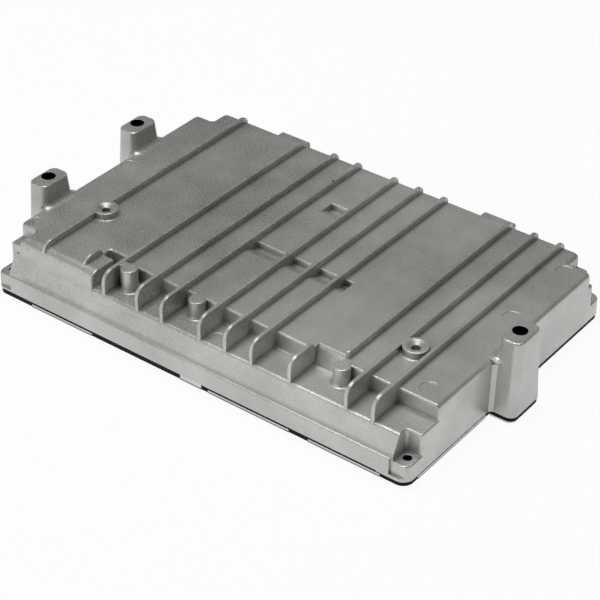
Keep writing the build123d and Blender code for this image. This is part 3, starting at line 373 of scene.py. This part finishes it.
# one finish for each of the record's slots
finishes = {
    "cast_metal": {
        "name": "castAluminium", "roughness": (0.32, 0.46), "metallic": 0.62, "dust": 0.25,
        "darkColor": (0.55, 0.55, 0.535), "lightColor": (0.71, 0.71, 0.695),
        "speckColor": (0.13, 0.13, 0.125), "speckAmount": 0.9, "wallSpecks": 0.2,
        "grainScale": 1350.0, "patchScale": 20.0, "pitDepth": 0.5,
        "bump": 0.5, "bumpDepth": 0.00007, "edgeRadius": 0.0005,
        # painted highlight: a pale colour painted on the edges
        "edgeHighlight": {"amount": 0.6, "radius": 0.0007, "turned": (0.98, 0.8),
                 "color": (0.9, 0.9, 0.89)},
        "shadeLines": [
            # painted shade: a soft dark line for the shadow of the shallow groove above the foot
            # band
            {**noLimits, "Height": 0.0133, "Spread": 0.0015, "Amount": 0.45, "Before": -0.0735,
             "From": -0.099, "Shade Color": (0.2, 0.2, 0.19)},
            # painted shade: the left posts are darkened below the rest
            {**noLimits, "Height": 0.034, "Spread": 0.014, "Amount": 0.5, "Until": -0.1106,
             "Shade Color": (0.36, 0.36, 0.35)},
        ],
        "cornerShade": [
            # painted shade: grey in the roots and slots, and black deep in the holes
            {"reach": 0.004, "open": (0.15, 0.85), "amount": 0.7, "color": (0.10, 0.10, 0.095)},
            {"reach": 0.009, "open": (0.06, 0.2), "amount": 0.9, "color": (0.01, 0.01, 0.01)},
        ],
        # painted shade: the near-black colour inside the bores
        "boreShadeColor": (0.004, 0.004, 0.004),
        "bores": [
            # the posts' holes, the tapped holes of the corner wells and a pinhole in the top, each
            # with its middle and radius; painted shade blackens them inside
            (-0.1174, -0.0342, 0.0034), (-0.1174, 0.0274, 0.0034), (0.1174, -0.0034, 0.0034),
            (-0.1084, -0.0695, 0.00195), (0.1084, -0.0695, 0.00195),
            (-0.1084, 0.0712, 0.00195), (0.1084, 0.0712, 0.00195),
            (-0.0188, 0.0521, 0.0006),
        ],
    },
    "cover_sheet": {
        "name": "rolledSheet", "roughness": (0.28, 0.42), "metallic": 1.0, "dust": 0.08,
        "darkColor": (0.60, 0.60, 0.59), "lightColor": (0.68, 0.68, 0.67),
        "speckColor": (0.5, 0.5, 0.5), "speckAmount": 0.25,
        "grainScale": 1100.0, "patchScale": 25.0, "pitDepth": 0.1,
        "bump": 0.15, "bumpDepth": 0.00003, "edgeRadius": 0.0003,
        "shadeLines": [
            # painted shade along the lips' lower edge
            {**noLimits, "Height": 0.0015, "Spread": 0.0011, "Amount": 1.0,
             "Shade Color": (0.012, 0.012, 0.012)},
        ],
    },
    "seal": {
        "name": "curedSealant", "roughness": (0.6, 0.8), "metallic": 0.0, "dust": 0.0,
        "specular": 0.15,
        "darkColor": (0.006, 0.006, 0.006), "lightColor": (0.014, 0.014, 0.014),
        "speckColor": (0.03, 0.03, 0.03), "speckAmount": 0.2,
        "grainScale": 900.0, "patchScale": 120.0, "pitDepth": 0.2,
        "bump": 0.5, "bumpDepth": 0.0001, "edgeRadius": 0.0002,
    },
    "screw_steel": {
        "name": "zincPlatedSteel", "roughness": (0.25, 0.4), "metallic": 1.0, "dust": 0.1,
        "darkColor": (0.48, 0.48, 0.46), "lightColor": (0.62, 0.62, 0.60),
        "speckColor": (0.35, 0.35, 0.33), "speckAmount": 0.3,
        "grainScale": 2500.0, "patchScale": 300.0, "pitDepth": 0.1,
        "bump": 0.1, "bumpDepth": 0.00002, "edgeRadius": 0.0002,
    },
    "header_plastic": {
        "name": "glassFilledPlastic", "roughness": (0.42, 0.6), "metallic": 0.0, "dust": 0.06,
        "darkColor": (0.016, 0.016, 0.017), "lightColor": (0.03, 0.03, 0.032),
        "speckColor": (0.06, 0.06, 0.062), "speckAmount": 0.25,
        "grainScale": 2200.0, "patchScale": 70.0, "pitDepth": 0.2,
        "bump": 0.3, "bumpDepth": 0.00004, "edgeRadius": 0.0003,
    },
    "pin_metal": {
        "name": "tinnedCopper", "roughness": (0.2, 0.34), "metallic": 1.0, "dust": 0.0,
        "darkColor": (0.66, 0.65, 0.61), "lightColor": (0.8, 0.79, 0.76),
        "speckColor": (0.55, 0.54, 0.5), "speckAmount": 0.3,
        "grainScale": 3000.0, "patchScale": 400.0, "pitDepth": 0.1,
        "bump": 0.1, "bumpDepth": 0.00001,
    },
    "board_laminate": {
        "name": "solderResist", "roughness": (0.22, 0.34), "metallic": 0.0, "dust": 0.05,
        "darkColor": (0.015, 0.09, 0.035), "lightColor": (0.03, 0.16, 0.06),
        "speckColor": (0.05, 0.2, 0.09), "speckAmount": 0.3,
        "grainScale": 600.0, "patchScale": 200.0, "pitDepth": 0.4,
        "bump": 0.2, "bumpDepth": 0.00004,
    },
    "chip_body": {
        "name": "mouldingCompound", "roughness": (0.45, 0.62), "metallic": 0.0, "dust": 0.05,
        "darkColor": (0.02, 0.02, 0.022), "lightColor": (0.035, 0.035, 0.038),
        "speckColor": (0.07, 0.07, 0.075), "speckAmount": 0.3,
        "grainScale": 3500.0, "patchScale": 250.0, "pitDepth": 0.3,
        "bump": 0.3, "bumpDepth": 0.00002,
    },
    "can_metal": {
        "name": "drawnCan", "roughness": (0.18, 0.3), "metallic": 1.0, "dust": 0.03,
        "darkColor": (0.7, 0.7, 0.69), "lightColor": (0.8, 0.8, 0.79),
        "speckColor": (0.6, 0.6, 0.6), "speckAmount": 0.2,
        "grainScale": 2000.0, "patchScale": 200.0, "pitDepth": 0.1,
        "bump": 0.1, "bumpDepth": 0.00001,
    },
    "coil_ferrite": {
        "name": "pressedFerrite", "roughness": (0.5, 0.7), "metallic": 0.0, "dust": 0.05,
        "darkColor": (0.05, 0.05, 0.055), "lightColor": (0.09, 0.09, 0.1),
        "speckColor": (0.16, 0.16, 0.17), "speckAmount": 0.4,
        "grainScale": 2500.0, "patchScale": 250.0, "pitDepth": 0.5,
        "bump": 0.4, "bumpDepth": 0.00004,
    },
    "capacitor_ceramic": {
        "name": "firedCeramic", "roughness": (0.35, 0.5), "metallic": 0.0, "dust": 0.0,
        "darkColor": (0.36, 0.25, 0.14), "lightColor": (0.46, 0.33, 0.2),
        "speckColor": (0.3, 0.2, 0.11), "speckAmount": 0.3,
        "grainScale": 3500.0, "patchScale": 500.0, "pitDepth": 0.2,
        "bump": 0.2, "bumpDepth": 0.00001,
    },
    "pad_silicone": {
        "name": "filledSilicone", "roughness": (0.6, 0.8), "metallic": 0.0, "dust": 0.0,
        "darkColor": (0.36, 0.41, 0.46), "lightColor": (0.44, 0.49, 0.54),
        "speckColor": (0.6, 0.64, 0.68), "speckAmount": 0.3,
        "grainScale": 1500.0, "patchScale": 200.0, "pitDepth": 0.3,
        "bump": 0.3, "bumpDepth": 0.00004,
    },
}
materials = {slotName: finishMaterial(settings) for slotName, settings in finishes.items()}
for part in frame["record"]["subparts"]:
    node = nodes[part["node"]]
    for holder in node.material_slots:
        holder.material = materials[part["material_slot"]]
print("stage: finishes built for", len(materials), "slots")


def startBox(pieceName, size, middle):
    bpy.ops.object.select_all(action="DESELECT")
    bpy.ops.mesh.primitive_cube_add(size=1.0)
    box = bpy.context.object
    box.name = pieceName
    bpy.ops.object.mode_set(mode="EDIT")
    bpy.ops.transform.resize(value=size)
    bpy.ops.transform.translate(value=middle)
    bpy.ops.object.mode_set(mode="OBJECT")
    return box


# two pads that carry the plate's flat top out over the shoulders of the back wall
shoulderSettings = {
    "middles": {"left": (-0.0603, 0.0739), "right": (0.0566, 0.0739)},
    "size": (0.01715, 0.0069, 0.004), "top": 0.029612, "bevel": 0.0011, "bevelSegments": 5,
    "smoothAngle": 35,
}
for side, (padX, padY) in shoulderSettings["middles"].items():
    padZ = shoulderSettings["top"] - shoulderSettings["size"][2] / 2
    pad = startBox(side + "ShoulderPad", shoulderSettings["size"], (padX, padY, padZ))
    rounding = pad.modifiers.new("roundEnds", "BEVEL")
    rounding.width = shoulderSettings["bevel"]
    rounding.segments = shoulderSettings["bevelSegments"]
    rounding.limit_method = "ANGLE"
    bpy.ops.object.modifier_apply(modifier=rounding.name)
    bpy.ops.object.shade_smooth_by_angle(angle=radians(shoulderSettings["smoothAngle"]))
    pad.data.materials.append(materials["cast_metal"])
    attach(pad, "root")

# a hollow round where the plate's top runs into the inner side of each post: rings that shrink
# as they rise, from a hidden skirt in the plate to a cap in the post. Each post has the place
# of its inner face, the middle of its width and the side of the unit that it is on.
postRootSettings = {
    "posts": {"frontLeft": (-0.11075, -0.03485, -1), "backLeft": (-0.11075, 0.02675, -1),
              "right": (0.11245, -0.00405, 1)},
    "plate": 0.0296, "skirt": 0.0015, "sink": 0.00002, "margin": 1.3,
    "radius": 0.003, "reach": 0.0033, "steps": 8,
    "capDepth": 0.0023, "backReach": 0.0013, "capHalf": 0.008, "sideReach": 0.0023,
    "corner": 0.0041, "cornerSegments": 10, "smoothAngle": 40,
}


def rootRing(faceX, side, share):
    # the ring's middle, depth and width, at a share of its full reach from the cap
    plateX = faceX - side * share * postRootSettings["reach"]
    backing = postRootSettings["capDepth"] + share * postRootSettings["backReach"]
    postX = faceX + side * backing
    halfWidth = postRootSettings["capHalf"] + share * postRootSettings["sideReach"]
    return (plateX + postX) / 2, abs(postX - plateX), 2 * halfWidth


rootProfile = [(postRootSettings["margin"], -postRootSettings["skirt"]),
               (postRootSettings["margin"], -postRootSettings["sink"])]
for step in range(postRootSettings["steps"] + 1):
    angle = radians(90 * step / postRootSettings["steps"])
    rootProfile.append((1 - sin(angle), postRootSettings["radius"] * (1 - cos(angle))))
for postName, (faceX, middleY, side) in postRootSettings["posts"].items():
    bpy.ops.object.select_all(action="DESELECT")
    bpy.ops.mesh.primitive_plane_add(size=1.0)
    root = bpy.context.object
    root.name = postName + "PostRoot"
    bpy.ops.object.mode_set(mode="EDIT")
    lower = None
    for share, height in rootProfile:
        middleX, depth, width = rootRing(faceX, side, share)
        if lower is None:
            start = (middleX, middleY, postRootSettings["plate"] + height)
            bpy.ops.transform.resize(value=(depth, width, 1.0))
            bpy.ops.transform.translate(value=start)
            bpy.ops.mesh.bevel(
                offset=postRootSettings["corner"], segments=postRootSettings["cornerSegments"],
                affect="VERTICES")
        else:
            lowerX, lowerDepth, lowerWidth, lowerHeight = lower
            lift = (middleX - lowerX, 0.0, height - lowerHeight)
            bpy.ops.mesh.extrude_region_move(TRANSFORM_OT_translate={"value": lift})
            bpy.ops.transform.resize(value=(depth / lowerDepth, width / lowerWidth, 1.0))
        lower = (middleX, depth, width, height)
    bpy.ops.mesh.select_all(action="SELECT")
    bpy.ops.mesh.normals_make_consistent(inside=False)
    bpy.ops.object.mode_set(mode="OBJECT")
    bpy.ops.object.shade_smooth_by_angle(angle=radians(postRootSettings["smoothAngle"]))
    root.data.materials.append(materials["cast_metal"])
    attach(root, "root")

# the cover's lock tab, pressed up over the seal where the front lips have a gap, and the
# sealant beside it, pressed out over the housing's lower edge; each from one corner to the other
frontStripSettings = {
    "lockTab": {"slot": "cover_sheet",
                "from": (-0.0043, -0.0763999, 0.0015), "to": (0.0073, -0.07612, 0.0042)},
    "leftBead": {"slot": "seal",
                 "from": (-0.1085, -0.0763999, 0.00295), "to": (-0.0043, -0.07612, 0.0041)},
    "rightBead": {"slot": "seal",
                  "from": (0.0073, -0.0763999, 0.00295), "to": (0.0980, -0.07612, 0.0040)},
}
for stripName, strip in frontStripSettings.items():
    corners = list(zip(strip["from"], strip["to"]))
    size = [high - low for low, high in corners]
    middle = [(high + low) / 2 for low, high in corners]
    band = startBox(stripName, size, middle)
    band.data.materials.append(materials[strip["slot"]])
    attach(band, "root")
print("stage: pads, post roots, tab and beads made")

# floor: pale, and white to the camera and to what mirrors it, with the object's shadow left in.
# It lies a hair below the part, and from below it is clear, so that the underside can be seen.
floorSettings = {
    "size": 6.0, "drop": 0.0001, "whiteShare": 0.94, "roughness": 0.9,
    "color": (0.86, 0.86, 0.86), "secondColor": (0.8514, 0.8514, 0.8514),
    "noiseScale": 8.0, "noiseDetail": 4.0, "noiseRoughness": 0.55,
}


def mixShaders(tree, factor, first, second):
    node = tree.nodes.new("ShaderNodeMixShader")
    for socket, output in zip(node.inputs, (factor, first, second)):
        tree.links.new(output, socket)
    return node.outputs["Shader"]


bpy.ops.mesh.primitive_plane_add(
    size=floorSettings["size"], location=(0, 0, -floorSettings["drop"]))
floor = bpy.context.object
floor.name = "studioFloor"
floorMaterial, floorTree, floorShader, floorOutput = startMaterial("paleFloor")
floorNoise = addNoise(
    floorTree, objectCoordinates(floorTree), floorSettings["noiseScale"],
    floorSettings["noiseDetail"], floorSettings["noiseRoughness"])
floorColor = addMix(floorTree, floorNoise, floorSettings["color"], floorSettings["secondColor"])
floorTree.links.new(floorColor, floorShader.inputs["Base Color"])
floorShader.inputs["Roughness"].default_value = floorSettings["roughness"]
rays = floorTree.nodes.new("ShaderNodeLightPath").outputs
seen = addMath(floorTree, "MAXIMUM", rays["Is Camera Ray"], rays["Is Glossy Ray"])
seen = addMath(floorTree, "MAXIMUM", seen, rays["Is Transmission Ray"])
whiteFactor = addMath(floorTree, "MULTIPLY", seen, floorSettings["whiteShare"])
white = floorTree.nodes.new("ShaderNodeEmission").outputs["Emission"]
paleSide = mixShaders(floorTree, whiteFactor, floorShader.outputs["BSDF"], white)
clear = floorTree.nodes.new("ShaderNodeBsdfTransparent").outputs["BSDF"]
below = floorTree.nodes.new("ShaderNodeNewGeometry").outputs["Backfacing"]
bothSides = mixShaders(floorTree, below, paleSide, clear)
floorTree.links.new(bothSides, floorOutput.inputs["Surface"])
floor.data.materials.append(floorMaterial)

# world: an even grey room
roomSettings = {"color": (0.5, 0.5, 0.47), "strength": 0.25}
world = bpy.data.worlds.new("studioRoom")
world.use_nodes = True
background = world.node_tree.nodes["Background"]
background.inputs["Color"].default_value = (*roomSettings["color"], 1.0)
background.inputs["Strength"].default_value = roomSettings["strength"]
bpy.context.scene.world = world
print("stage: floor and room made")
